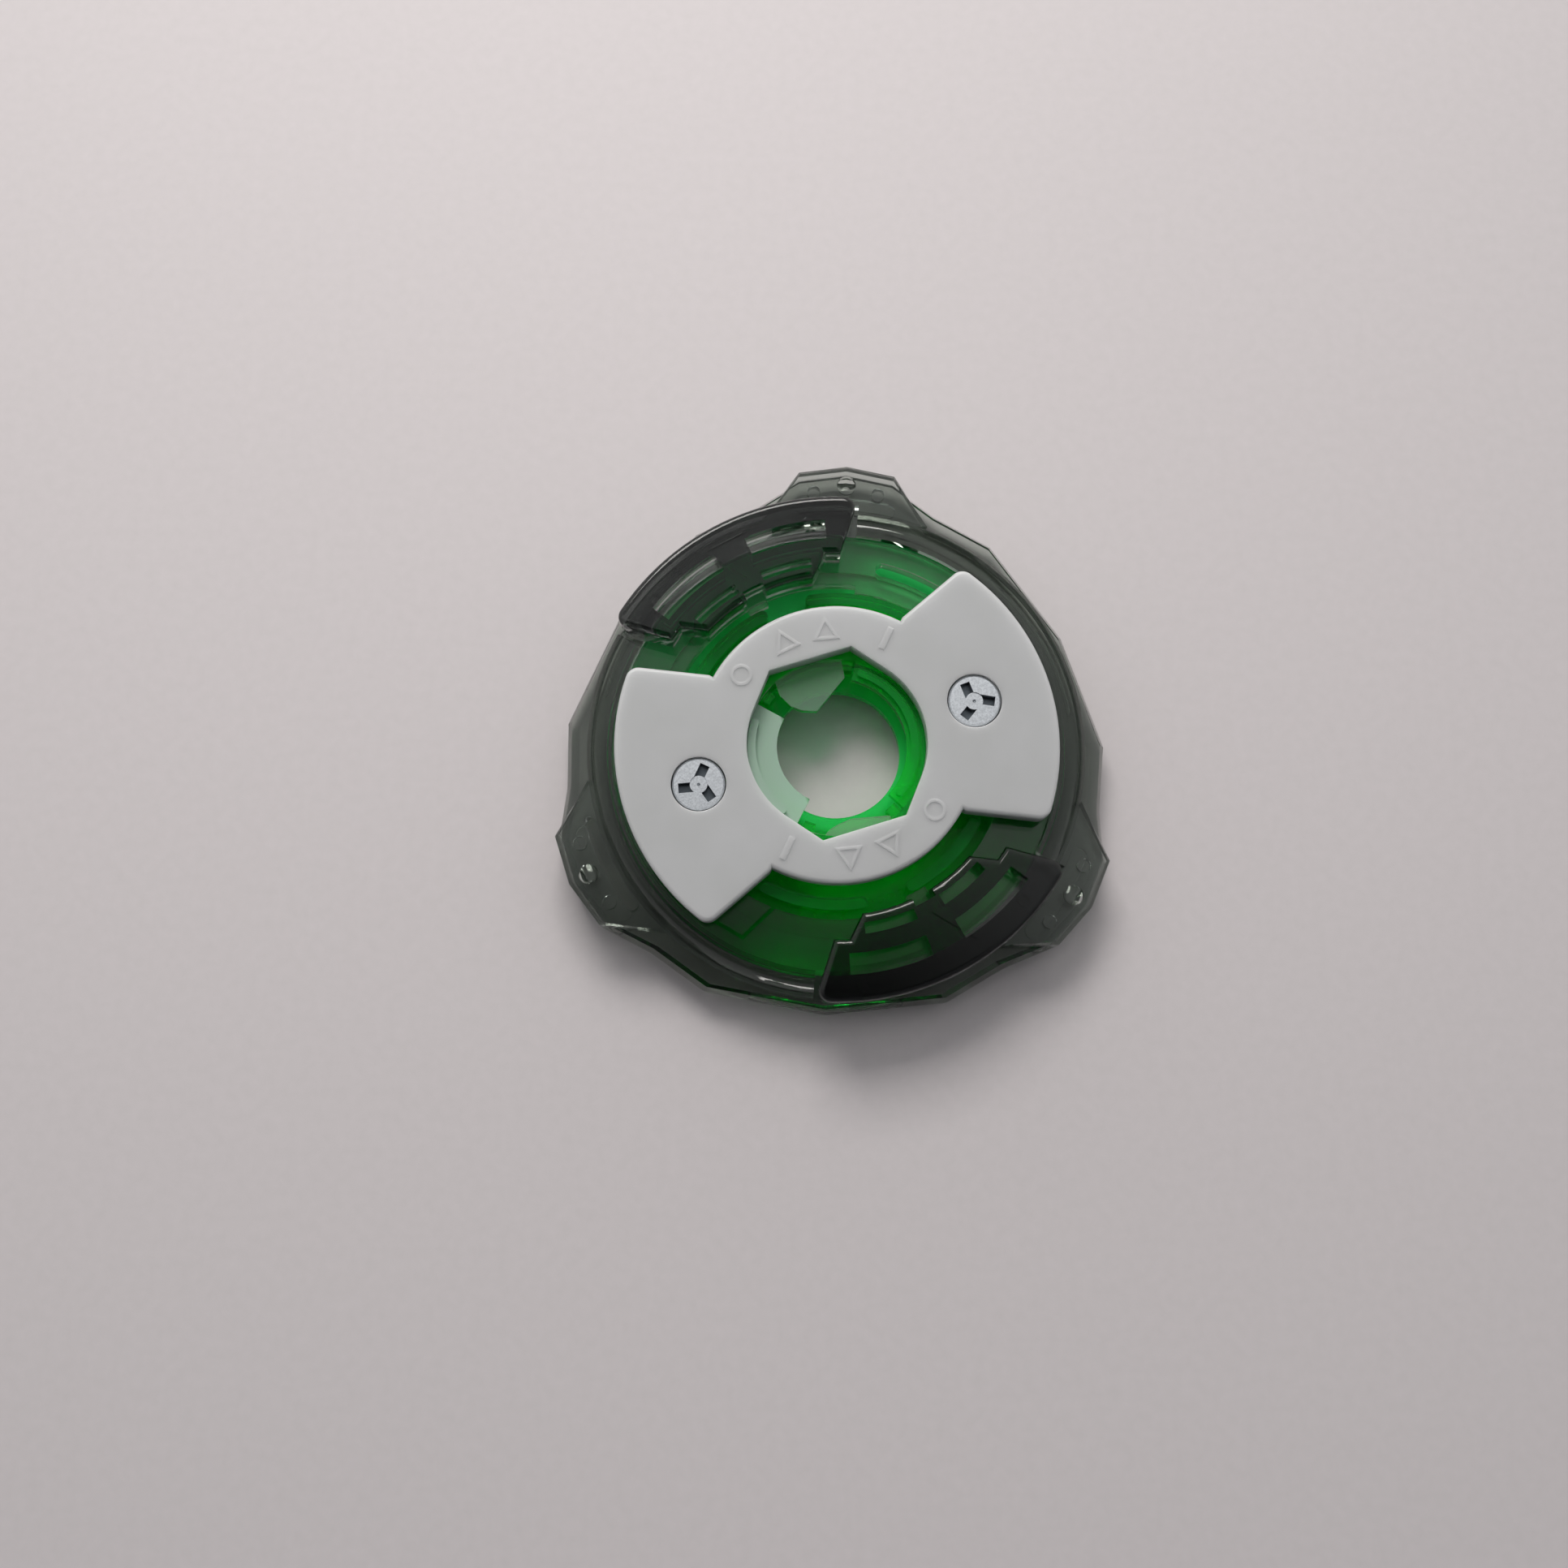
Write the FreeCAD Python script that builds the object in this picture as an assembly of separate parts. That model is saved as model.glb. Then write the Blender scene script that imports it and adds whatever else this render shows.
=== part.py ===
import FreeCAD, Part
import math
import os

# Base of a take-apart spinning top, lying on its top face with its mounting side up.
# Millimetres and degrees.  The origin is on the spin axis in the plane that it stands on, +Z up.
# Angles turn from +X towards +Y, seen from above.

# Clearances
fit_gap = 0.05            # between pieces that are assembled and stay put
seat_gap = 0.05           # between the shell and the frame, held by the pegs
turn_gap = 0.05           # radial running clearance of the turning ring on the core
lift_gap = 0.30           # axial clearance of the turning ring
pass_gap = 0.15           # between the ring's inner features and the core's ribs

# Overall sizes
cover_ring_radius = 12.9  # round part of the cover
ring_width = 10.2         # from that ring to the round edge of the frame
annulus_width = 2.5       # width of the frame's annulus
lobe_reach = 4.4          # lobe tips outside the frame's round edge
bore_radius = 6.1         # central hole
opening_radius = 8.25     # opening of the cover
screw_circle = 13.17      # radius of the circle that the two screws stand on

# Heights and thicknesses
shell_height = 3.4
frame_thickness = 2.2
cover_thickness = 2.1
arc_rise = 2.7            # raised arcs above the frame's face
arc_seat_depth = frame_thickness - 1.0   # how far the arcs stand in the frame
flange_thickness = frame_thickness - 0.6
disc_lift = 0.5           # underside of the core's disc above the floor
floor_drop = 0.5          # disc floor below the bearing track at its edge

frame_bottom = shell_height + seat_gap
frame_top = frame_bottom + frame_thickness
track_top = frame_bottom - lift_gap
floor_top = track_top - floor_drop
cover_bottom = frame_top + lift_gap
cover_top = cover_bottom + cover_thickness
hub_top = cover_bottom - fit_gap
arc_top = frame_top + arc_rise
arc_seat = frame_top - arc_seat_depth
flange_top = frame_bottom + flange_thickness
rib_top = flange_top

# Shell and frame
frame_radius = cover_ring_radius + ring_width
frame_bore = frame_radius - annulus_width
disc_overlap = 0.3        # how far the core's disc reaches under the frame
disc_radius = frame_bore + disc_overlap
lobe_tip_radius = frame_radius + lobe_reach
lobe_angles = (87.5, 207.5, 327.5)
lobe_half_angle = 9.7
lobe_corner_drop = 0.4
lobe_root_half_angle = 19.8
lobe_root_overlap = 0.02
facet_mid_radius = frame_radius + 1.3
facet_side_radius = frame_radius + 2.25
facet_half_angle = 26.0
facet_root_half_angle = 40.0
shell_bevel = 0.9
shell_recess_depth = 0.6  # hollows in the shell's outer face
shell_recess_width = 1.5
shell_recess_half_angle = 17.0
facet_recess_inset = 0.4
lobe_recess_inset = 1.1   # from the lobe's tip to the hollow under it
frame_bevel = 0.35
groove_width = 1.2
groove_depth = 0.3
lobe_hole_inset = 2.0     # hole centre inside the lobe's tip
lobe_hole_circle = lobe_tip_radius - lobe_hole_inset
lobe_hole_radius = 0.9
lobe_hole_floor_radius = 0.45
lobe_hole_straight = 0.5
lobe_hole_depth = 1.6
window_width = 1.1        # light window in the lobe that no raised arc passes
window_half_angle = 10.5
open_lobe_angle = lobe_angles[1]
peg_radius = 0.6          # pegs of the shell in the frame's lobes
peg_height = 0.8
peg_half_angle = 7.0
peg_inset = 0.3           # pegs stand this far inside the circle of the holes
peg_circle = lobe_hole_circle - peg_inset
peg_root = 0.5

# Ribs, hub and bosses of the core
wing_axis = 17.2          # direction of the wings, the screws and the flats
track_width = 3.4
hub_radius = cover_ring_radius - 0.5
hub_foot_inset = 1.0      # foot that the toy stands on, inside the hub
chamber_radius = opening_radius + fit_gap
chip_seat_radius = 9.4    # counterbore for the centre piece that the top side takes
chip_seat_depth = 1.0
chip_key_half_angle = 9.0
chip_key_depth = 1.0
throat_top = 2.2          # top of the plain bore, where the chamber starts
rib_inner_radius = cover_ring_radius + 1.0
rib_outer_radius = rib_inner_radius + 1.1
rib_spans = ((45.8, 81.8), (101.3, 135.0))
boss_radius = 2.1
ledge_thickness = 0.95
# "reach" is how far a ledge stands inside the bore; "ridge_inset" is from the chamber's wall to its ridge
wide_ledge = {"reach": -0.4, "half_angle": 60.0, "ridge_inset": 0.7, "ridge_half_angle": 54.0,
              "lug_angle": 65.5}
deep_ledge = {"reach": 0.6, "half_angle": 46.0, "ridge_inset": 0.1, "ridge_half_angle": 33.0,
              "lug_angle": 54.0}
ridge_width = 0.75
ridge_height = 0.7
feature_root = 0.5        # overlap of the chamber's features with its wall
lug_half_angle = 4.0
lug_depth = 0.9
lug_height = 1.7
lug_drop = 0.4
tab_half_width = 3.6
long_tab_reach = 4.55
short_tab_reach = 1.5

# Raised arcs of the drive ring
arc_angles = (118.2, 298.2)
arc_overhang = 0.4        # raised arcs outside the frame's round edge
arc_outer_radius = frame_radius + arc_overhang
arc_inner_radius = rib_outer_radius + 0.7
arc_step_radius = arc_inner_radius + 2.2
arc_half_angle = 33.5
arc_step_half_angle = 29.5
arc_notch_half_angle = 25.0
arc_inner_half_angle = 20.3
arc_corner_round = 1.1
arc_round = 0.55
pocket_web = 0.8          # web left under the pockets, above the arcs' seat
pocket_rim = 0.45         # flange left outside the hollows under the pockets
pocket_start = 4.4        # half angle of the bridge between the pockets
outer_pocket = (arc_outer_radius - 4.3, arc_outer_radius - 2.4, 25.4)
inner_pocket = (arc_inner_radius + 0.9, arc_inner_radius + 1.9, 20.4)
pointer_radius = arc_outer_radius - 1.9
pointer_length = 4.0
pointer_half_width = 2.4
pointer_cut = 0.35
tooth_half_angle = 3.6
tooth_height = 1.4
tooth_step = 0.4          # top of the teeth above the flange
tooth_recess = 0.8
stake_circle = frame_radius - 1.0
stake_half_angle = 22.0
stake_radius = 0.5
stake_rise = 0.5          # stakes run this far into the raised arcs

# Flange and click arm of the drive ring
boss_gap = 0.5
flange_inner_radius = max(rib_outer_radius + 0.9, screw_circle + boss_radius + boss_gap)
arm_inner_radius = rib_outer_radius + pass_gap
arm_width = 2.05
arm_slot_width = 1.3
arm_root_angle = 83.0
arm_slot_angle = 75.5
arm_tip_angle = 50.0
nose_angle = arm_tip_angle + 2.0
nose_radius = 0.35
mode_turn = 22.5          # turn between the two drive modes
click_rib_margin = 4.5
slit_width = 0.35
slit_angles = (249.5, 243.8, 231.0)
slit_insets = (1.05, 0.85)   # from the flange's edge to the slit's bend and to its end
side_window_width = 0.55
side_window_rim = 0.15
side_windows = ((196.0, 203.0), (214.0, 226.0))

# Cover
cover_radius = frame_bore - lift_gap
wing_half_angle = 37.7
wing_root_half_angle = 45.5
wing_root_step = 0.4
wing_root_radius = cover_ring_radius + wing_root_step
wing_corner_round = 1.2
opening_corner_half = 3.94
cover_edge_round = 0.35
mark_circle = (opening_radius + cover_ring_radius) / 2 + 0.18
mark_height = 0.12
mark_root = 0.1           # marks start this far inside the cover
mark_stroke = 0.28
mark_half_width = 1.25
mark_length = 2.2
triangle_angles = (78.3, 99.8)
dot_angle = 127.3
bar_angle = 47.8

# Screws
head_radius = 2.4
head_height = 1.2
head_sink = 0.15
head_gap = 0.12
shank_radius = 0.95
shank_end = 1.4           # tip of the shank above the disc's underside
shank_clearance = 0.3     # free depth under the tip
shank_point = 0.4
head_bevel = 0.15
slot_width = 0.9
slot_reach = 1.85
slot_depth = 0.9
slot_offset = 0.22
slot_peg_radius = 0.8
slot_peg_drop = 0.12      # peg below the head's face
slot_peg_dimple = 0.16
screw_turns = (94.0, 48.0)

up = FreeCAD.Vector(0, 0, 1)
origin = FreeCAD.Vector(0, 0, 0)


def polar(radius, angle, z=0.0):
    a = math.radians(angle)
    return FreeCAD.Vector(radius * math.cos(a), radius * math.sin(a), z)


def cylinder(radius, z0, z1, centre=origin):
    return Part.makeCylinder(radius, z1 - z0, FreeCAD.Vector(centre.x, centre.y, z0), up)


def cone(radius0, radius1, z0, z1, centre=origin):
    return Part.makeCone(radius0, radius1, z1 - z0, FreeCAD.Vector(centre.x, centre.y, z0), up)


def tube(inner, outer, z0, z1):
    return cylinder(outer, z0, z1).cut(cylinder(inner, z0, z1))


def prism(wire, z0, z1):
    face = Part.Face(wire)
    face.translate(FreeCAD.Vector(0, 0, z0))
    return face.extrude(FreeCAD.Vector(0, 0, z1 - z0))


def polygon(points):
    return Part.makePolygon(list(points) + [points[0]])


def arc(radius, start, end):
    return Part.Arc(polar(radius, start), polar(radius, (start + end) / 2), polar(radius, end)).toShape()


def line(start, end):
    return Part.LineSegment(start, end).toShape()


def band(inner, outer, start, end, z0, z1):
    """Annular sector with radial ends."""
    edges = [arc(outer, start, end), line(polar(outer, end), polar(inner, end))]
    edges += [arc(inner, end, start), line(polar(inner, start), polar(outer, start))]
    return prism(Part.Wire(edges), z0, z1)


def round_band(inner, outer, start, end, z0, z1):
    """Annular sector whose ends are half circles centred on its middle radius."""
    middle = (inner + outer) / 2
    width = outer - inner
    body = band(inner, outer, start, end, z0, z1)
    for angle in (start, end):
        body = body.fuse(cylinder(width / 2, z0, z1, polar(middle, angle)))
    return body.removeSplitter()


def turned(shape, angle):
    copy = shape.copy()
    copy.rotate(origin, up, angle)
    return copy


def fused(shapes):
    first, rest = shapes[0], shapes[1:]
    return first.multiFuse(rest).removeSplitter() if rest else first


def edges_at(shape, z):
    """Edges that lie in the plane z."""
    found = []
    for edge in shape.Edges:
        box = edge.BoundBox
        if abs(box.ZMin - z) < 1e-5 and abs(box.ZMax - z) < 1e-5:
            found.append(edge)
    return found


def upright_edges(shape, points, reach=0.05):
    """Vertical edges that stand over the given points."""
    found = []
    for edge in shape.Edges:
        box = edge.BoundBox
        if box.XLength > reach or box.YLength > reach or box.ZLength < reach:
            continue
        for point in points:
            if math.hypot(box.Center.x - point.x, box.Center.y - point.y) < reach:
                found.append(edge)
                break
    return found


def lobed_outline(grow, z):
    """Faceted outline of the shell: three lobes joined by facets, grown or shrunk radially."""
    points = []
    corner = lobe_tip_radius - lobe_corner_drop
    for lobe in lobe_angles:
        facets = lobe - 60.0
        points.append(polar(facet_side_radius + grow, facets - facet_root_half_angle, z))
        points.append(polar(facet_side_radius + grow, facets - facet_half_angle, z))
        points.append(polar(facet_mid_radius + grow, facets, z))
        points.append(polar(facet_side_radius + grow, facets + facet_half_angle, z))
        points.append(polar(facet_side_radius + grow, facets + facet_root_half_angle, z))
        points.append(polar(corner + grow, lobe - lobe_half_angle, z))
        points.append(polar(lobe_tip_radius + grow, lobe, z))
        points.append(polar(corner + grow, lobe + lobe_half_angle, z))
    return polygon(points)


def lobe_outline(lobe, grow, z):
    """One lobe of the frame, rooted inside the round annulus."""
    corner = lobe_tip_radius - lobe_corner_drop
    root = frame_radius - lobe_root_overlap
    points = [polar(root, lobe - lobe_root_half_angle, z)]
    points.append(polar(corner + grow, lobe - lobe_half_angle, z))
    points.append(polar(lobe_tip_radius + grow, lobe, z))
    points.append(polar(corner + grow, lobe + lobe_half_angle, z))
    points.append(polar(root, lobe + lobe_root_half_angle, z))
    points.append(polar(root - 2.0, lobe, z))
    return polygon(points)


def make_upper_shell():
    """Faceted outer shell, with a bore that runs on the core's disc and pegs for the frame."""
    sections = [lobed_outline(-shell_bevel, 0.0), lobed_outline(0.0, shell_bevel)]
    sections.append(lobed_outline(0.0, shell_height - shell_bevel))
    sections.append(lobed_outline(-shell_bevel / 2, shell_height))
    body = Part.makeLoft(sections, True, True)
    body = body.cut(cylinder(disc_radius + turn_gap, -1.0, shell_height + 1.0))
    pegs = []
    for lobe in lobe_angles:
        for side in (-1, 1):
            centre = polar(peg_circle, lobe + side * peg_half_angle)
            pegs.append(cylinder(peg_radius, shell_height - peg_root, shell_height + peg_height, centre))
    body = fused([body] + pegs)
    lobe_outer = lobe_tip_radius - shell_bevel - lobe_recess_inset
    facet_outer = facet_mid_radius - shell_bevel - facet_recess_inset
    for lobe in lobe_angles:
        body = body.cut(round_band(lobe_outer - shell_recess_width, lobe_outer, lobe - lobe_half_angle,
                                   lobe + lobe_half_angle, -1.0, shell_recess_depth))
        facets = lobe - 60.0
        body = body.cut(round_band(facet_outer - shell_recess_width / 2, facet_outer,
                                   facets - shell_recess_half_angle, facets + shell_recess_half_angle,
                                   -1.0, shell_recess_depth))
    return body


def make_lower_frame():
    """Annulus with three lobes, a soft groove, blind holes and seats for the raised arcs."""
    body = cylinder(frame_radius, frame_bottom, frame_top)
    body = body.makeChamfer(frame_bevel, edges_at(body, frame_top))
    lobes = []
    for lobe in lobe_angles:
        sections = [lobe_outline(lobe, 0.0, frame_bottom)]
        sections.append(lobe_outline(lobe, 0.0, frame_top - frame_bevel))
        sections.append(lobe_outline(lobe, -frame_bevel, frame_top))
        lobes.append(Part.makeLoft(sections, True, True))
    body = fused([body] + lobes)
    body = body.cut(cylinder(frame_bore, frame_bottom - 1, frame_top + 1))
    groove_centre = FreeCAD.Vector(0, 0, frame_top - groove_depth + groove_width)
    body = body.cut(Part.makeTorus((frame_bore + frame_radius) / 2, groove_width, groove_centre, up))
    for lobe in lobe_angles:
        body = body.cut(lobe_hole(lobe))
        for side in (-1, 1):
            centre = polar(peg_circle, lobe + side * peg_half_angle)
            socket_top = frame_bottom + peg_height + fit_gap
            body = body.cut(cylinder(peg_radius + fit_gap, frame_bottom - 1, socket_top, centre))
    body = body.cut(round_band(frame_radius, frame_radius + window_width,
                               open_lobe_angle - window_half_angle, open_lobe_angle + window_half_angle,
                               frame_bottom - 1, frame_top + 1))
    for angle in arc_angles:
        reach = arc_half_angle + math.degrees(2 * fit_gap / arc_outer_radius)
        body = body.cut(band(frame_bore - 1, arc_outer_radius + fit_gap, angle - reach, angle + reach,
                             arc_seat - fit_gap, frame_top + 1))
        for side in (-1, 1):
            centre = polar(stake_circle, angle + side * stake_half_angle)
            body = body.cut(cylinder(stake_radius + fit_gap, frame_bottom - 1, frame_top, centre))
    return body


def lobe_hole(lobe):
    """Blind hole in a lobe: straight mouth, then a taper to a small flat floor."""
    centre = polar(lobe_hole_circle, lobe)
    mouth_end = frame_top - lobe_hole_straight
    mouth = cylinder(lobe_hole_radius, mouth_end, frame_top + 1, centre)
    taper = cone(lobe_hole_floor_radius, lobe_hole_radius, frame_top - lobe_hole_depth, mouth_end, centre)
    return mouth.fuse(taper)


def raised_arc(angle):
    """One raised arc: slanted ends, a stepped inner wall, pockets, a pointer and a tooth recess."""
    marks = [(arc_half_angle, arc_outer_radius), (arc_step_half_angle, arc_step_radius)]
    marks += [(arc_notch_half_angle, arc_step_radius), (arc_inner_half_angle, arc_inner_radius)]
    low = [polar(radius, -half) for half, radius in marks]
    high = [polar(radius, half) for half, radius in marks]
    edges = [arc(arc_outer_radius, -arc_half_angle, arc_half_angle), line(high[0], high[1])]
    edges += [arc(arc_step_radius, arc_step_half_angle, arc_notch_half_angle), line(high[2], high[3])]
    edges.append(arc(arc_inner_radius, arc_inner_half_angle, -arc_inner_half_angle))
    edges += [line(low[3], low[2]), arc(arc_step_radius, -arc_notch_half_angle, -arc_step_half_angle)]
    edges.append(line(low[1], low[0]))
    body = prism(Part.Wire(edges), arc_seat, arc_top)
    body = body.makeFillet(arc_corner_round, upright_edges(body, [low[0], high[0]]))
    body = body.makeFillet(arc_round, edges_at(body, arc_top))
    for inner, outer, end in (outer_pocket, inner_pocket):
        for side in (-1, 1):
            first, last = sorted((side * pocket_start, side * end))
            body = body.cut(band(inner, outer, first, last, arc_seat + pocket_web, arc_top + 1))
    body = body.cut(pointer())
    recess = band(arc_inner_radius - 1, arc_inner_radius + tooth_recess, -tooth_half_angle,
                  tooth_half_angle, flange_top + tooth_step, arc_top + 1)
    return turned(body.cut(recess), angle)


def pointer():
    """Cutter for the triangular recess that points at the axis."""
    points = [FreeCAD.Vector(pointer_radius, -pointer_half_width, 0)]
    points.append(FreeCAD.Vector(pointer_radius, pointer_half_width, 0))
    points.append(FreeCAD.Vector(pointer_radius - pointer_length, 0, 0))
    return prism(polygon(points), arc_top - pointer_cut, arc_top + 1)


def click_arm():
    """Curved arm with a nose at its free end, which clicks into the core's notches."""
    arm = band(arm_inner_radius, flange_inner_radius + 1, arm_tip_angle, arm_root_angle,
               frame_bottom, flange_top)
    nose = cylinder(nose_radius, frame_bottom, flange_top, polar(arm_inner_radius, nose_angle))
    return fused([arm, nose])


def arm_clearance():
    """Slot behind the click arm, and the gap at its free end."""
    slot_inner = arm_inner_radius + arm_width
    slot_outer = slot_inner + arm_slot_width
    slot = round_band(slot_inner, slot_outer, arm_tip_angle - 3, arm_slot_angle,
                      frame_bottom - 1, flange_top + 1)
    gap = band(arm_inner_radius - 1, (slot_inner + slot_outer) / 2, arm_tip_angle - 5, arm_tip_angle,
               frame_bottom - 1, flange_top + 1)
    return slot.fuse(gap)


def make_drive_ring():
    """Flange that turns under the cover, with two raised arcs, their teeth and a click arm."""
    outer = frame_bore - fit_gap
    parts = [tube(flange_inner_radius, outer, frame_bottom, flange_top), click_arm()]
    for angle in arc_angles:
        parts.append(raised_arc(angle))
        parts.append(band(flange_inner_radius, outer, angle - arc_notch_half_angle,
                          angle + arc_notch_half_angle, frame_bottom, arc_seat + pocket_web))
        tooth_top = flange_top + tooth_step
        parts.append(band(arm_inner_radius, arc_inner_radius + 1, angle - tooth_half_angle,
                          angle + tooth_half_angle, tooth_top - tooth_height, tooth_top))
        for side in (-1, 1):
            centre = polar(stake_circle, angle + side * stake_half_angle)
            parts.append(cylinder(stake_radius, frame_bottom, arc_seat + stake_rise, centre))
    body = fused(parts).cut(arm_clearance())
    for inner, pocket_outer, end in (outer_pocket, inner_pocket):
        hollow_outer = min(pocket_outer, outer - pocket_rim)
        for angle in arc_angles:
            for side in (-1, 1):
                first, last = sorted((angle + side * pocket_start, angle + side * end))
                body = body.cut(band(inner, hollow_outer, first, last, frame_bottom - 1, arc_seat))
    corners = [polar(flange_inner_radius - 0.5, slit_angles[0])]
    for inset, angle in zip(slit_insets, slit_angles[1:]):
        corners.append(polar(outer - inset, angle))
    for start, end in zip(corners, corners[1:]):
        body = body.cut(slit(start, end))
    for start, end in side_windows:
        window_outer = outer - side_window_rim
        body = body.cut(round_band(window_outer - side_window_width, window_outer, start, end,
                                   frame_bottom - 1, flange_top + 1))
    return body


def slit(start, end):
    """Narrow straight cut through the flange."""
    along = end.sub(start)
    half = slit_width / 2
    box = Part.makeBox(along.Length + slit_width, slit_width, flange_thickness + 2,
                       FreeCAD.Vector(-half, -half, frame_bottom - 1))
    box.rotate(origin, up, math.degrees(math.atan2(along.y, along.x)))
    box.translate(FreeCAD.Vector(start.x, start.y, 0))
    return box


def make_core_body():
    """Disc and hub with the central bore, the driver's ledges and tabs, ribs and screw bosses."""
    disc = cylinder(disc_radius, disc_lift, track_top)
    disc = disc.cut(cylinder(disc_radius - track_width, floor_top, track_top + 1))
    parts = [disc, cylinder(hub_radius, disc_lift, hub_top)]
    parts.append(cylinder(hub_radius - hub_foot_inset, 0.0, floor_top))
    for side in (0, 180):
        parts.append(cylinder(boss_radius, disc_lift, hub_top, polar(screw_circle, side)))
        for start, end in rib_spans:
            parts.append(round_band(rib_inner_radius, rib_outer_radius, start + side, end + side,
                                    disc_lift, rib_top))
    click_end = nose_angle - wing_axis + click_rib_margin
    click_start = click_end - mode_turn - 2 * click_rib_margin
    parts.append(band(rib_inner_radius, arm_inner_radius - nose_radius - fit_gap, click_start, click_end,
                      disc_lift, rib_top))
    body = fused(parts)
    body = body.cut(cylinder(bore_radius, -1.0, hub_top + 1))
    body = body.cut(cylinder(chamber_radius, throat_top, hub_top + 1))
    body = fused([body] + chamber_features())
    body = body.cut(chip_seat())
    for side in (0, 180):
        hole_floor = disc_lift + shank_end - shank_clearance
        body = body.cut(cylinder(shank_radius + fit_gap, hole_floor, hub_top + 1, polar(screw_circle, side)))
    return turned(body, wing_axis)


def chamber_features():
    """Two unlike ledges with ridges, four lugs and two unequal tabs at the mouth of the chamber."""
    ledge_bottom = hub_top - ledge_thickness
    wall = chamber_radius + feature_root
    lug_top = hub_top - lug_drop
    features = [driver_tab(1, long_tab_reach, ledge_bottom)]
    features.append(driver_tab(-1, short_tab_reach, ledge_bottom))
    for side, ledge in ((0, wide_ledge), (180, deep_ledge)):
        half = ledge["half_angle"]
        features.append(band(bore_radius - ledge["reach"], wall, side - half, side + half,
                             ledge_bottom, hub_top))
        ridge_outer = chamber_radius - ledge["ridge_inset"]
        half = ledge["ridge_half_angle"]
        features.append(round_band(ridge_outer - ridge_width, ridge_outer, side - half, side + half,
                                   ledge_bottom, hub_top + ridge_height))
        for hand in (-1, 1):
            middle = side + hand * ledge["lug_angle"]
            features.append(band(chamber_radius - lug_depth, wall, middle - lug_half_angle,
                                 middle + lug_half_angle, lug_top - lug_height, lug_top))
    return features


def driver_tab(side, reach, z0):
    """Tab with a blunt nose across one end of the chamber."""
    root = chamber_radius + feature_root
    outline = [(-1.0, root), (-1.0, chamber_radius - 0.45 * reach)]
    outline.append((-0.8, chamber_radius - 0.75 * reach))
    outline += [(-0.55, chamber_radius - 0.9 * reach), (-0.2, chamber_radius - reach)]
    outline += [(0.75, chamber_radius - 0.5 * reach), (0.85, root)]
    points = [FreeCAD.Vector(across * tab_half_width, side * out, 0) for across, out in outline]
    return prism(polygon(points), z0, hub_top)


def chip_seat():
    """Keyed counterbore in the top face, where the centre piece of the toy goes."""
    seat = cylinder(chip_seat_radius, -1.0, chip_seat_depth)
    for side in (90, 270):
        key = band(chip_seat_radius - 1, chip_seat_radius + chip_key_depth, side - chip_key_half_angle,
                   side + chip_key_half_angle, -1.0, chip_seat_depth)
        seat = seat.fuse(key)
    return seat


def make_under_cover():
    """Cover plate: a ring with two opposite wings, a flatted opening and screw recesses."""
    rim = [polar(cover_radius, -wing_half_angle), polar(cover_radius, wing_half_angle)]
    root = [polar(wing_root_radius, -wing_root_half_angle), polar(wing_root_radius, wing_root_half_angle)]
    back = [polar(opening_radius, -wing_root_half_angle), polar(opening_radius, wing_root_half_angle)]
    edges = [arc(cover_radius, -wing_half_angle, wing_half_angle), line(rim[1], root[1])]
    edges += [line(root[1], back[1]), line(back[1], back[0]), line(back[0], root[0]), line(root[0], rim[0])]
    wing = prism(Part.Wire(edges), cover_bottom, cover_top)
    wing = wing.makeFillet(wing_corner_round, upright_edges(wing, rim))
    body = fused([cylinder(cover_ring_radius, cover_bottom, cover_top), wing, turned(wing, 180)])
    body = body.makeFillet(cover_edge_round, edges_at(body, cover_top))
    for side in (0, 180):
        marks = [index_triangle(angle + side) for angle in triangle_angles]
        marks.append(index_dot(dot_angle + side))
        marks.append(index_bar(bar_angle + side))
        body = fused([body] + marks)
    body = body.cut(prism(opening_outline(), cover_bottom - 1, cover_top + 1))
    for side in (0, 180):
        centre = polar(screw_circle, side)
        seat = cover_top - head_sink - head_height
        body = body.cut(cylinder(head_radius + head_gap, seat, cover_top + 1, centre))
        body = body.cut(cylinder(shank_radius + fit_gap, cover_bottom - 1, cover_top, centre))
    return turned(body, wing_axis)


def index_triangle(angle):
    """Raised outline of a triangle that points outwards."""
    shapes = []
    for inset in (0.0, mark_stroke):
        low = mark_circle - mark_length / 2 + inset
        high = mark_circle + mark_length / 2 - 2 * inset
        half = mark_half_width - 1.7 * inset
        points = [FreeCAD.Vector(low, -half, 0), FreeCAD.Vector(low, half, 0), FreeCAD.Vector(high, 0, 0)]
        shapes.append(prism(polygon(points), cover_top - mark_root, cover_top + mark_height))
    return turned(shapes[0].cut(shapes[1]), angle)


def index_dot(angle):
    """Raised ring that marks one drive mode."""
    outer = mark_half_width * 0.8
    ring = tube(outer - mark_stroke, outer, cover_top - mark_root, cover_top + mark_height)
    ring.translate(FreeCAD.Vector(mark_circle, 0, 0))
    return turned(ring, angle)


def index_bar(angle):
    """Raised bar that marks the other drive mode."""
    bar = Part.makeBox(mark_length, 2 * mark_stroke, mark_root + mark_height,
                       FreeCAD.Vector(mark_circle - mark_length / 2, -mark_stroke, cover_top - mark_root))
    return turned(bar, angle)


def opening_outline():
    """Round opening with four corners, where two flats meet lines tangent to the circle."""
    r = opening_radius
    corner_radius = math.hypot(r, opening_corner_half)
    corner = math.degrees(math.atan2(r, opening_corner_half))
    tangent = corner - math.degrees(math.acos(r / corner_radius))
    edges = []
    for side in (0, 180):
        low = polar(r, side + tangent)
        first = polar(corner_radius, side + corner)
        second = polar(corner_radius, side + 180 - corner)
        high = polar(r, side + 180 - tangent)
        edges += [arc(r, side - tangent, side + tangent), line(low, first), line(first, second)]
        edges.append(line(second, high))
    return Part.Wire(edges)


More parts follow.
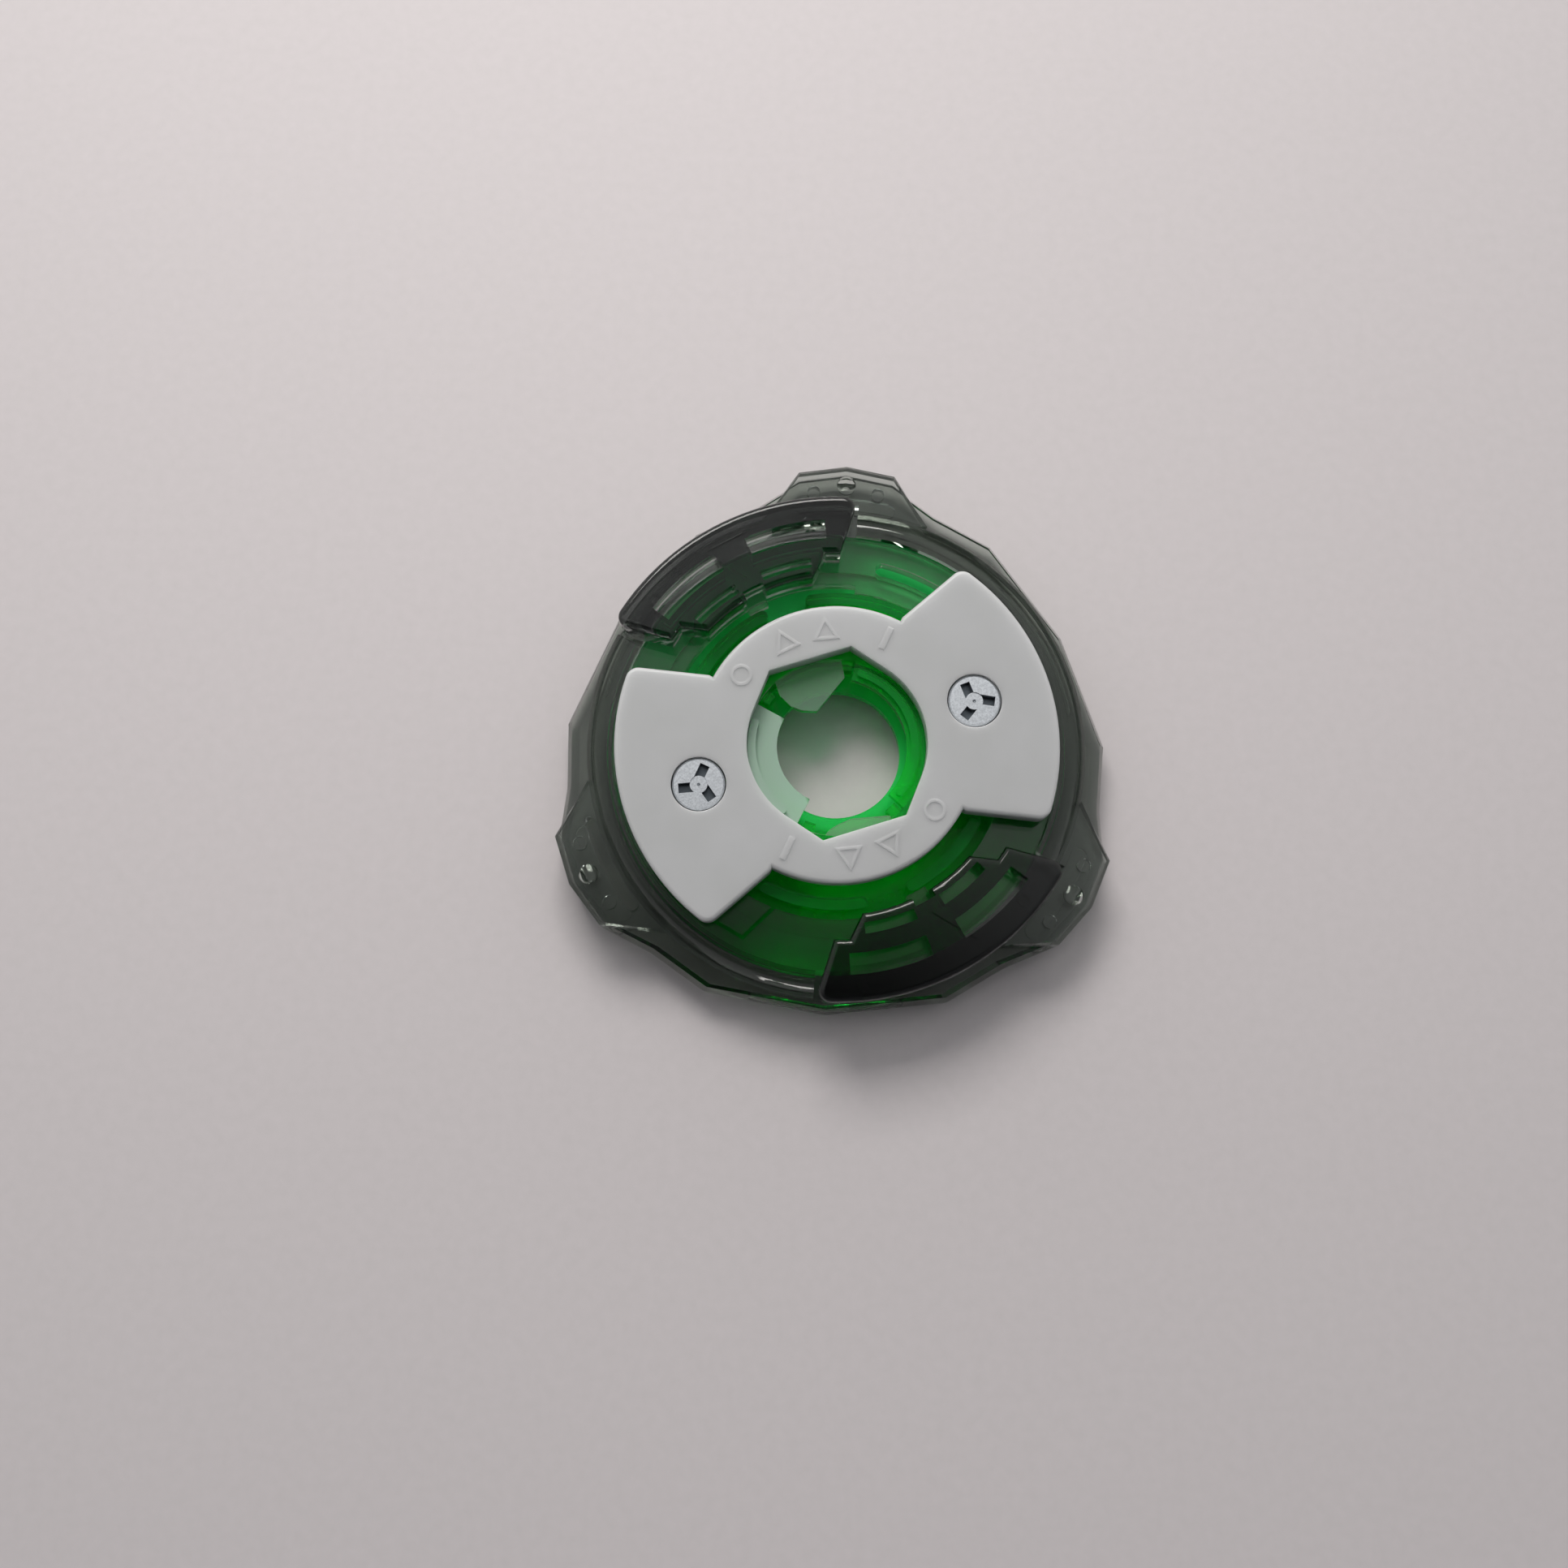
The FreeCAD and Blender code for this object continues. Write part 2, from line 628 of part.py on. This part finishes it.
def make_cover_screw(side, turn):
    """Self-tapping screw with a three-slot security recess around a central peg."""
    head_top = cover_top - head_sink
    head = cylinder(head_radius, head_top - head_height, head_top)
    head = head.makeChamfer(head_bevel, edges_at(head, head_top))
    tip = disc_lift + shank_end
    shank = cylinder(shank_radius, tip, head_top - head_height + 0.1)
    shank = shank.makeChamfer(shank_point, edges_at(shank, tip))
    body = fused([head, shank])
    slots = []
    for step in (0, 120, 240):
        slot = Part.makeBox(slot_reach, slot_width, slot_depth + 1,
                            FreeCAD.Vector(0, slot_offset - slot_width / 2, head_top - slot_depth))
        slots.append(turned(slot, turn + step))
    peg_top = head_top - slot_peg_drop
    peg = cylinder(slot_peg_radius, head_top - slot_depth - 1, peg_top)
    body = body.cut(fused(slots).cut(peg))
    body = body.cut(cylinder(slot_peg_radius, peg_top, head_top + 1))
    body = body.cut(cone(0.0, 2 * slot_peg_dimple, peg_top - slot_peg_dimple, peg_top + slot_peg_dimple))
    body.translate(polar(screw_circle, side))
    return turned(body, wing_axis)


def main():
    os.makedirs("parts", exist_ok=True)
    nodes = {
        "upper_shell": make_upper_shell(),
        "lower_frame": make_lower_frame(),
        "drive_ring": make_drive_ring(),
        "core_body": make_core_body(),
        "under_cover": make_under_cover(),
        "cover_screw_1": make_cover_screw(0, screw_turns[0]),
        "cover_screw_2": make_cover_screw(180, screw_turns[1]),
    }
    for name, shape in nodes.items():
        solids = shape.Solids
        print(name, "solids", len(solids), "valid", shape.isValid(), "volume", round(shape.Volume, 1))
        body = solids[0] if len(solids) == 1 else shape
        body.exportStep("parts/" + name + ".step")


main()
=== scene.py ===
import math

import bmesh
import bpy
from mathutils import Matrix, Vector


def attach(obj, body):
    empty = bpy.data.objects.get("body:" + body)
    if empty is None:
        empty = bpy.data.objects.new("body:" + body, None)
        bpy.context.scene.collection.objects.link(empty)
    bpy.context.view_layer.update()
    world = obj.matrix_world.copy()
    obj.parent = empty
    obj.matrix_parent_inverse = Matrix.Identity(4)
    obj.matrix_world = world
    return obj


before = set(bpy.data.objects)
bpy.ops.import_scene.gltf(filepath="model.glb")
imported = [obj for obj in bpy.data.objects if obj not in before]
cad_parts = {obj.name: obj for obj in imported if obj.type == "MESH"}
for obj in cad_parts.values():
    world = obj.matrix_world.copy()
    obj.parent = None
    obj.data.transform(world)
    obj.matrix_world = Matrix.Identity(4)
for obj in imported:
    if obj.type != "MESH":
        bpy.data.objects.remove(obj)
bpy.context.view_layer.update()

mm = 0.001
print("frame loaded:", ", ".join(sorted(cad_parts)))


def linearColour(hexText):
    channels = []
    for start in (0, 2, 4):
        value = int(hexText[start:start + 2], 16) / 255
        channels.append(value / 12.92 if value <= 0.04045 else ((value + 0.055) / 1.055) ** 2.4)
    return (*channels, 1.0)


def addNode(tree, kind, values=None, links=None, **settings):
    node = tree.nodes.new(kind)
    for name, value in settings.items():
        setattr(node, name, value)
    for name, value in (values or {}).items():
        node.inputs[name].default_value = value
    for name, socket in (links or {}).items():
        tree.links.new(socket, node.inputs[name])
    return node


def newMaterial(name):
    material = bpy.data.materials.new(name)
    material.use_nodes = True
    tree = material.node_tree
    tree.nodes.clear()
    return material, tree, addNode(tree, "ShaderNodeOutputMaterial")


# Clear tinted plastics

clearFinish = {
    "polish": 0.0,           # roughness of the clean moulded face
    "smudge": 0.05,          # roughness where it has been handled
    "smudgeSize": 7.0,       # mm
    "smudgeEdge": (0.45, 0.7),
    "rippleSize": 2.5,       # mm, slow waves in a moulded face
    "rippleHeight": 0.006,   # mm
    "scuffSize": 0.3,        # mm, fine handling marks, drawn coarser than the real ones so that they show
    "scuffHeight": 0.0006,   # mm
    "skinIor": 1.5, "skinRoughness": 0.05,
}


def mouldedFace(tree, place):
    face = clearFinish
    smudge = addNode(tree, "ShaderNodeTexNoise", {"Scale": 1 / (face["smudgeSize"] * mm), "Detail": 3.0},
                     {"Vector": place})
    rough = addNode(tree, "ShaderNodeMapRange",
                    {"From Min": face["smudgeEdge"][0], "From Max": face["smudgeEdge"][1],
                     "To Min": face["polish"], "To Max": face["smudge"]}, {"Value": smudge.outputs["Fac"]})
    ripple = addNode(tree, "ShaderNodeTexNoise", {"Scale": 1 / (face["rippleSize"] * mm), "Detail": 1.0},
                     {"Vector": place})
    scuff = addNode(tree, "ShaderNodeTexNoise", {"Scale": 1 / (face["scuffSize"] * mm), "Detail": 4.0},
                    {"Vector": place})
    wave = addNode(tree, "ShaderNodeBump", {"Strength": 1.0, "Distance": face["rippleHeight"] * mm},
                   {"Height": ripple.outputs["Fac"]})
    mark = addNode(tree, "ShaderNodeBump", {"Strength": 1.0, "Distance": face["scuffHeight"] * mm},
                   {"Height": scuff.outputs["Fac"], "Normal": wave.outputs["Normal"]})
    return rough.outputs["Result"], mark.outputs["Normal"]


# A zone of the part: 1 inside a radius about the spin axis and above a height, 0 elsewhere.
def zoneWithin(tree, place, radius, height):
    level = addNode(tree, "ShaderNodeSeparateXYZ", links={"Vector": place}).outputs["Z"]
    flat = addNode(tree, "ShaderNodeMapping", {"Scale": (1, 1, 0)}, {"Vector": place})
    reach = addNode(tree, "ShaderNodeVectorMath", links={"Vector": flat.outputs["Vector"]},
                    operation="LENGTH")
    inside = addNode(tree, "ShaderNodeMath", {1: radius * mm}, {0: reach.outputs["Value"]},
                     operation="LESS_THAN")
    above = addNode(tree, "ShaderNodeMath", {1: height * mm}, {0: level}, operation="GREATER_THAN")
    return addNode(tree, "ShaderNodeMath", links={0: inside.outputs["Value"], 1: above.outputs["Value"]},
                   operation="MULTIPLY").outputs["Value"]


# The tint sits in the depth of the plastic, so thick stretches are darker than thin ones.
def fillWithTint(tree, output, surface, finish):
    depth = addNode(tree, "ShaderNodeVolumeAbsorption",
                    {"Color": linearColour(finish["tint"]), "Density": finish["density"]})
    tree.links.new(surface.outputs["BSDF"], output.inputs["Surface"])
    tree.links.new(depth.outputs["Volume"], output.inputs["Volume"])


# Clear polycarbonate, moulded with a grey tint: inner shapes show, and thick stretches go nearly black.
# Polycarbonate is typically IOR 1.58; lower values are used here because they show the inner shapes better.
# The darker zone is painted shade, there for the look alone: a darker base colour on the arc tops and the
# frame's inner top, standing in for the shade seen in the thick tinted plastic.
def smokePlastic(name, finish):
    material, tree, output = newMaterial(name)
    place = addNode(tree, "ShaderNodeTexCoord").outputs["Object"]
    roughness, normal = mouldedFace(tree, place)
    # Painted shade: a darker base colour inside a radius and above a height.
    paintedShade = zoneWithin(tree, place, finish["paintedShadeRadius"], finish["paintedShadeLevel"])
    cloud = addNode(tree, "ShaderNodeTexNoise", {"Scale": 1 / (finish["cloudSize"] * mm), "Detail": 2.0},
                    {"Vector": place})
    clean = addNode(tree, "ShaderNodeMix", links={"Factor": cloud.outputs["Fac"]}, data_type="RGBA")
    clean.inputs[6].default_value = linearColour(finish["cloud"])
    clean.inputs[7].default_value = linearColour("FFFFFF")
    colour = addNode(tree, "ShaderNodeMix", links={"Factor": paintedShade, 6: clean.outputs[2]}, data_type="RGBA")
    colour.inputs[7].default_value = linearColour(finish["paintedShade"])
    surface = addNode(tree, "ShaderNodeBsdfPrincipled",
                      {"IOR": finish["ior"], "Transmission Weight": 1.0, "Coat Weight": finish["skin"],
                       "Coat IOR": clearFinish["skinIor"], "Coat Roughness": clearFinish["skinRoughness"]},
                      {"Base Color": colour.outputs[2], "Roughness": roughness, "Normal": normal})
    fillWithTint(tree, output, surface, finish)
    return material


# Clear polycarbonate, moulded with a strong green tint. The lock faces in the bore are paler: partly a
# frosted texture, partly a painted reflection of the ceiling, much stronger left of an edge.
def greenPlastic(finish):
    material, tree, output = newMaterial("greenPolycarbonate")
    place = addNode(tree, "ShaderNodeTexCoord").outputs["Object"]
    roughness, normal = mouldedFace(tree, place)
    inBore = zoneWithin(tree, place, finish["frostRadius"], finish["frostLevel"])
    turn = addNode(tree, "ShaderNodeMapping", {"Rotation": (0, 0, math.radians(-finish["axis"]))},
                   {"Vector": place})
    across = addNode(tree, "ShaderNodeSeparateXYZ", links={"Vector": turn.outputs["Vector"]}).outputs["X"]
    # Painted reflection: the lock faces left of the edge are given far more pale frost, standing in for the
    # ceiling mirrored in them.
    sheenBySide = addNode(tree, "ShaderNodeMapRange",
                   {"From Min": finish["sheenEdge"][0] * mm, "From Max": finish["sheenEdge"][1] * mm,
                    "To Min": finish["frostAndSheenAmount"][0], "To Max": finish["frostAndSheenAmount"][1]},
                   {"Value": across})
    leftOf = addNode(tree, "ShaderNodeMath", {1: finish["frostReach"] * mm}, {0: across},
                     operation="LESS_THAN")
    frostAndSheenFaces = addNode(tree, "ShaderNodeMath", links={0: inBore, 1: leftOf.outputs["Value"]},
                       operation="MULTIPLY")
    frostAndSheen = addNode(tree, "ShaderNodeMath", links={0: frostAndSheenFaces.outputs["Value"], 1: sheenBySide.outputs["Result"]},
                    operation="MULTIPLY")
    # Painted light: the low floor is given more haze towards +Y, so it reads lighter on the side the light
    # comes from; this is for the look alone, and no cause in the part is known.
    apart = addNode(tree, "ShaderNodeSeparateXYZ", links={"Vector": place})
    paintedLightTowardY = addNode(tree, "ShaderNodeMapRange",
                     {"From Min": finish["paintedLightEdge"][0] * mm, "From Max": finish["paintedLightEdge"][1] * mm,
                      "To Min": 1.0 - finish["haze"], "To Max": 1.0 - finish["floorPaintedLight"]},
                     {"Value": apart.outputs["Y"]})
    low = addNode(tree, "ShaderNodeMath", {1: finish["floorLevel"] * mm}, {0: apart.outputs["Z"]},
                  operation="LESS_THAN")
    body = addNode(tree, "ShaderNodeMix", {"A": 1.0 - finish["haze"]},
                   {"Factor": low.outputs["Value"], "B": paintedLightTowardY.outputs["Result"]})
    clear = addNode(tree, "ShaderNodeMath", links={0: body.outputs["Result"], 1: frostAndSheen.outputs["Value"]},
                    operation="SUBTRACT")
    colour = addNode(tree, "ShaderNodeMix", links={"Factor": frostAndSheenFaces.outputs["Value"]}, data_type="RGBA")
    colour.inputs[6].default_value = linearColour(finish["body"])
    colour.inputs[7].default_value = linearColour(finish["frostAndSheen"])
    surface = addNode(tree, "ShaderNodeBsdfPrincipled", {"IOR": finish["ior"]},
                      {"Base Color": colour.outputs[2], "Transmission Weight": clear.outputs["Value"],
                       "Roughness": roughness, "Normal": normal})
    fillWithTint(tree, output, surface, finish)
    return material


# Small raised dots and ticks on the floor of the green core, where a moulding carries its marks

floorMarks = {
    "level": 2.65,            # mm, top of the core's floor
    "lift": 0.02,             # mm, thin air gap that keeps the two green faces apart
    "height": 0.10,
    "bevel": 0.03,
    "dotCircle": 14.4, "dotRadius": 0.32, "dotCount": 4, "dotStep": 4.0,
    "dotTurns": (108.75, 288.75),      # degrees, in the gaps between the core's curved ribs
    "tickCircle": 15.45, "tickLength": 0.6, "tickWidth": 0.28, "tickCount": 4, "tickStep": 5.0,
    "tickTurns": (85.0, 265.0),        # just outside the ribs
}


def markPlaces(turns, count, step, circle):
    height = (floorMarks["level"] + floorMarks["lift"] + floorMarks["height"] / 2) * mm
    for middle in turns:
        for index in range(count):
            turn = math.radians(middle + (index - (count - 1) / 2) * step)
            yield Matrix.Rotation(turn, 4, "Z") @ Matrix.Translation((circle * mm, 0, height))


def makeFloorMarks():
    marks = floorMarks
    mesh = bmesh.new()
    for place in markPlaces(marks["dotTurns"], marks["dotCount"], marks["dotStep"], marks["dotCircle"]):
        bmesh.ops.create_cone(mesh, cap_ends=True, segments=24, radius1=marks["dotRadius"] * mm,
                              radius2=marks["dotRadius"] * mm, depth=marks["height"] * mm, matrix=place)
    tickSize = Matrix.Diagonal((marks["tickLength"] * mm, marks["tickWidth"] * mm, marks["height"] * mm, 1))
    for place in markPlaces(marks["tickTurns"], marks["tickCount"], marks["tickStep"], marks["tickCircle"]):
        bmesh.ops.create_cube(mesh, size=1.0, matrix=place @ tickSize)
    top = (marks["level"] + marks["lift"] + marks["height"] / 2) * mm
    rims = [edge for edge in mesh.edges if all(corner.co.z > top for corner in edge.verts)]
    bmesh.ops.bevel(mesh, geom=rims, offset=marks["bevel"] * mm, affect="EDGES", segments=2, profile=0.5,
                    material=-1)
    data = bpy.data.meshes.new("floorMarks")
    mesh.to_mesh(data)
    mesh.free()
    piece = bpy.data.objects.new("floorMarks", data)
    bpy.context.scene.collection.objects.link(piece)
    return piece


greenFinish = {
    "tint": "30F8BC", "density": 400.0, "ior": 1.2, "haze": 0.11, "body": "40F97E",
    # floorPaintedLight and paintedLightEdge: painted light, more haze on the low floor towards +Y.
    "floorPaintedLight": 0.85, "floorLevel": 3.3, "paintedLightEdge": (-8.0, 10.0),   # mm
    "frostAndSheen": "B4CDBE",       # pale face of the lock faces in the bore: partly frosted texture, partly painted reflection of the ceiling
    "frostRadius": 8.32, "frostLevel": 5.7, "frostReach": 3.1, "axis": 17.2,
    "sheenEdge": (-4.2, -3.9), "frostAndSheenAmount": (0.6, 0.14),   # left of the edge, mostly painted reflection of the ceiling, and the rest
}

smokeFinish = {
    "shell": {"tint": "8D9E90", "density": 225.0, "ior": 1.4, "skin": 0.35,
              "cloud": "E4EAE4", "cloudSize": 9.0,
              "paintedShade": "FFFFFF", "paintedShadeRadius": 0.0, "paintedShadeLevel": 0.0},        # no painted shade zone
    "frame": {"tint": "8D9E90", "density": 225.0, "ior": 1.4, "skin": 0.35,
              "cloud": "E4EAE4", "cloudSize": 9.0,
              # The frame's painted shade darkens its top inside 23 mm.
              "paintedShade": "B6BDB4", "paintedShadeRadius": 23.0, "paintedShadeLevel": 5.0},
    "ring": {"tint": "8A928B", "density": 240.0, "ior": 1.35, "skin": 0.4,
             "cloud": "E6E8E6", "cloudSize": 7.0,
             "paintedShade": "76747B", "paintedShadeRadius": 30.0, "paintedShadeLevel": 7.5},        # painted shade on the tops of the raised arcs
}

smokeShell = smokePlastic("smokePolycarbonateShell", smokeFinish["shell"])
smokeFrame = smokePlastic("smokePolycarbonateFrame", smokeFinish["frame"])
smokeRing = smokePlastic("smokePolycarbonateRing", smokeFinish["ring"])
greenCore = greenPlastic(greenFinish)
print("clear plastics made")

# Milky cover

coverFinish = {
    "shade": "BABCBC", "pale": "C5C6C8",
    "ior": 1.48, "roughness": 0.38,
    "cloudSize": 5.0,        # mm, faint clouds of tone
    "bleed": 2.5,            # mm, how far light spreads under the face
    "grain": 0.18, "grainHeight": 0.003,
}


# Natural acetal, moulded: light spreads under the face, so edges look soft and shadows on it are weak.
def milkyAcetal():
    material, tree, output = newMaterial("milkyAcetal")
    place = addNode(tree, "ShaderNodeTexCoord").outputs["Object"]
    cloud = addNode(tree, "ShaderNodeTexNoise", {"Scale": 1 / (coverFinish["cloudSize"] * mm), "Detail": 2.0},
                    {"Vector": place})
    colour = addNode(tree, "ShaderNodeMix", links={"Factor": cloud.outputs["Fac"]}, data_type="RGBA")
    colour.inputs[6].default_value = linearColour(coverFinish["shade"])
    colour.inputs[7].default_value = linearColour(coverFinish["pale"])
    grain = addNode(tree, "ShaderNodeTexNoise", {"Scale": 1 / (coverFinish["grain"] * mm), "Detail": 2.0},
                    {"Vector": place})
    bump = addNode(tree, "ShaderNodeBump", {"Strength": 1.0, "Distance": coverFinish["grainHeight"] * mm},
                   {"Height": grain.outputs["Fac"]})
    surface = addNode(tree, "ShaderNodeBsdfPrincipled",
                      {"IOR": coverFinish["ior"], "Roughness": coverFinish["roughness"],
                       "Subsurface Weight": 1.0, "Subsurface Radius": (1.0, 1.0, 1.0),
                       "Subsurface Scale": coverFinish["bleed"] * mm},
                      {"Base Color": colour.outputs[2], "Normal": bump.outputs["Normal"]})
    tree.links.new(surface.outputs["BSDF"], output.inputs["Surface"])
    return material


milkyCover = milkyAcetal()

# Screws

zincFinish = {
    "bright": "E8EDF2", "recess": "3E484F", "roughness": 0.3,
    "recessDepth": (6.9, 7.75),   # mm, painted shade in the slots: dark from their foot, bright from where the bright face starts
    "grain": 0.16, "grainHeight": 0.005,
    "grainEdge": (0.35, 0.65), "grainShade": 0.75,
}


# Steel with a bright zinc plating: a cool grey shine with fine grain, and slots darkened with painted shade.
def zincPlate():
    material, tree, output = newMaterial("brightZincPlate")
    place = addNode(tree, "ShaderNodeTexCoord").outputs["Object"]
    level = addNode(tree, "ShaderNodeSeparateXYZ", links={"Vector": place}).outputs["Z"]
    slotFoot, slotMouth = zincFinish["recessDepth"]
    # Painted shade: the slots darken below the head's bright face.
    recess = addNode(tree, "ShaderNodeMapRange", {"From Min": slotFoot * mm, "From Max": slotMouth * mm},
                     {"Value": level})
    speck = addNode(tree, "ShaderNodeTexNoise", {"Scale": 1 / (zincFinish["grain"] * mm), "Detail": 3.0},
                    {"Vector": place})
    tone = addNode(tree, "ShaderNodeMapRange",
                   {"From Min": zincFinish["grainEdge"][0], "From Max": zincFinish["grainEdge"][1],
                    "To Min": zincFinish["grainShade"]}, {"Value": speck.outputs["Fac"]})
    shading = addNode(tree, "ShaderNodeMath", links={0: recess.outputs["Result"], 1: tone.outputs["Result"]},
                      operation="MULTIPLY")
    colour = addNode(tree, "ShaderNodeMix", links={"Factor": shading.outputs["Value"]}, data_type="RGBA")
    colour.inputs[6].default_value = linearColour(zincFinish["recess"])
    colour.inputs[7].default_value = linearColour(zincFinish["bright"])
    bump = addNode(tree, "ShaderNodeBump", {"Strength": 1.0, "Distance": zincFinish["grainHeight"] * mm},
                   {"Height": speck.outputs["Fac"]})
    surface = addNode(tree, "ShaderNodeBsdfPrincipled",
                      {"Metallic": 1.0, "Roughness": zincFinish["roughness"]},
                      {"Base Color": colour.outputs[2], "Normal": bump.outputs["Normal"]})
    tree.links.new(surface.outputs["BSDF"], output.inputs["Surface"])
    return material


zincScrew = zincPlate()

finishes = {"smoke_shell": smokeShell, "smoke_frame": smokeFrame, "smoke_ring": smokeRing,
            "green_core": greenCore, "milky_cover": milkyCover, "zinc_screw": zincScrew}
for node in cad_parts.values():
    for place in node.material_slots:
        place.material = finishes[place.material.name.split(".")[0]]
floorMarksPiece = makeFloorMarks()
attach(floorMarksPiece, "core")
floorMarksPiece.data.materials.append(greenCore)
print("finishes assigned and floor marks added")

# Table, light and camera

studio = {
    "tableDark": "CFCACB", "tablePale": "D7D1D3",
    "tableGrain": 1.1,       # mm
    "tableRoughness": 0.7,
    "tableSize": 1.6,        # m
    "tableDrop": 0.03,       # mm, thin air gap under the faces that the toy rests on
    "roomDark": "6C6C70",
    "roomPale": "FFFFFF",
    "roomEdge": (-0.6, 0.5),
    "worldStrength": 0.69,
    "shadeToward": (-0.02, -0.25, 1.0),   # dark patch overhead, where the viewer bends over the table
    "shadeEdge": (0.91, 0.965),           # cosines of its soft edge
    "shadeColour": "2A2A2C",
    "keyPlace": (-0.05, 0.24, 0.26),      # m
    "keySize": (0.20, 0.15),              # m
    "keyPower": 0.85,        # W
    "keyColour": "FFFBF7",
}


def makeTable():
    mesh = bmesh.new()
    bmesh.ops.create_grid(mesh, x_segments=1, y_segments=1, size=studio["tableSize"] / 2)
    data = bpy.data.meshes.new("tableTop")
    mesh.to_mesh(data)
    mesh.free()
    table = bpy.data.objects.new("tableTop", data)
    bpy.context.scene.collection.objects.link(table)
    material, tree, output = newMaterial("paintedTable")   # matt paint: an even pale face with a faint grain
    place = addNode(tree, "ShaderNodeTexCoord").outputs["Object"]
    grain = addNode(tree, "ShaderNodeTexNoise", {"Scale": 1 / (studio["tableGrain"] * mm), "Detail": 3.0},
                    {"Vector": place})
    colour = addNode(tree, "ShaderNodeMix", links={"Factor": grain.outputs["Fac"]}, data_type="RGBA")
    colour.inputs[6].default_value = linearColour(studio["tableDark"])
    colour.inputs[7].default_value = linearColour(studio["tablePale"])
    surface = addNode(tree, "ShaderNodeBsdfPrincipled", {"Roughness": studio["tableRoughness"]},
                      {"Base Color": colour.outputs[2]})
    tree.links.new(surface.outputs["BSDF"], output.inputs["Surface"])
    data.materials.append(material)
    data.transform(Matrix.Translation((0, 0, -studio["tableDrop"] * mm)))


def makeWorld():
    world = bpy.data.worlds.new("room")
    bpy.context.scene.world = world
    world.use_nodes = True
    tree = world.node_tree
    tree.nodes.clear()
    direction = addNode(tree, "ShaderNodeTexCoord").outputs["Generated"]
    forth = addNode(tree, "ShaderNodeSeparateXYZ", links={"Vector": direction}).outputs["Y"]
    blend = addNode(tree, "ShaderNodeMapRange",
                    {"From Min": studio["roomEdge"][0], "From Max": studio["roomEdge"][1]}, {"Value": forth})
    colour = addNode(tree, "ShaderNodeMix", links={"Factor": blend.outputs["Result"]}, data_type="RGBA")
    colour.inputs[6].default_value = linearColour(studio["roomDark"])
    colour.inputs[7].default_value = linearColour(studio["roomPale"])
    facing = addNode(tree, "ShaderNodeVectorMath", {1: Vector(studio["shadeToward"]).normalized()},
                     {0: direction}, operation="DOT_PRODUCT")
    shade = addNode(tree, "ShaderNodeMapRange",
                    {"From Min": studio["shadeEdge"][0], "From Max": studio["shadeEdge"][1]},
                    {"Value": facing.outputs["Value"]}, interpolation_type="SMOOTHSTEP")
    shaded = addNode(tree, "ShaderNodeMix", links={"Factor": shade.outputs["Result"], 6: colour.outputs[2]},
                     data_type="RGBA")
    shaded.inputs[7].default_value = linearColour(studio["shadeColour"])
    glow = addNode(tree, "ShaderNodeBackground", {"Strength": studio["worldStrength"]},
                   {"Color": shaded.outputs[2]})
    addNode(tree, "ShaderNodeOutputWorld", links={"Surface": glow.outputs["Background"]})


def makeKeyLight():
    lamp = bpy.data.lights.new("softWindow", "AREA")
    lamp.shape = "RECTANGLE"
    lamp.size, lamp.size_y = studio["keySize"]
    lamp.energy = studio["keyPower"]
    lamp.color = linearColour(studio["keyColour"])[:3]
    light = bpy.data.objects.new("softWindow", lamp)
    light.location = studio["keyPlace"]
    light.rotation_euler = (-Vector(studio["keyPlace"])).to_track_quat("-Z", "Y").to_euler()
    bpy.context.scene.collection.objects.link(light)


viewpoint = {
    "place": (-5.70, -29.46, 147.73),   # mm
    "turn": (10.37, -0.35, 0.0),        # degrees
    "lens": 36.06, "sensor": 36.0,      # mm
    "nearest": 5.0,                     # mm
}


def makeCamera():
    data = bpy.data.cameras.new("camera")
    data.lens = viewpoint["lens"]
    data.sensor_width = viewpoint["sensor"]
    data.clip_start = viewpoint["nearest"] * mm
    camera = bpy.data.objects.new("camera", data)
    camera.location = [value * mm for value in viewpoint["place"]]
    camera.rotation_euler = [math.radians(value) for value in viewpoint["turn"]]
    bpy.context.scene.collection.objects.link(camera)
    bpy.context.scene.camera = camera


makeTable()
makeWorld()
makeKeyLight()
makeCamera()
bpy.context.scene.view_settings.view_transform = "Standard"
print("table, light and camera placed")
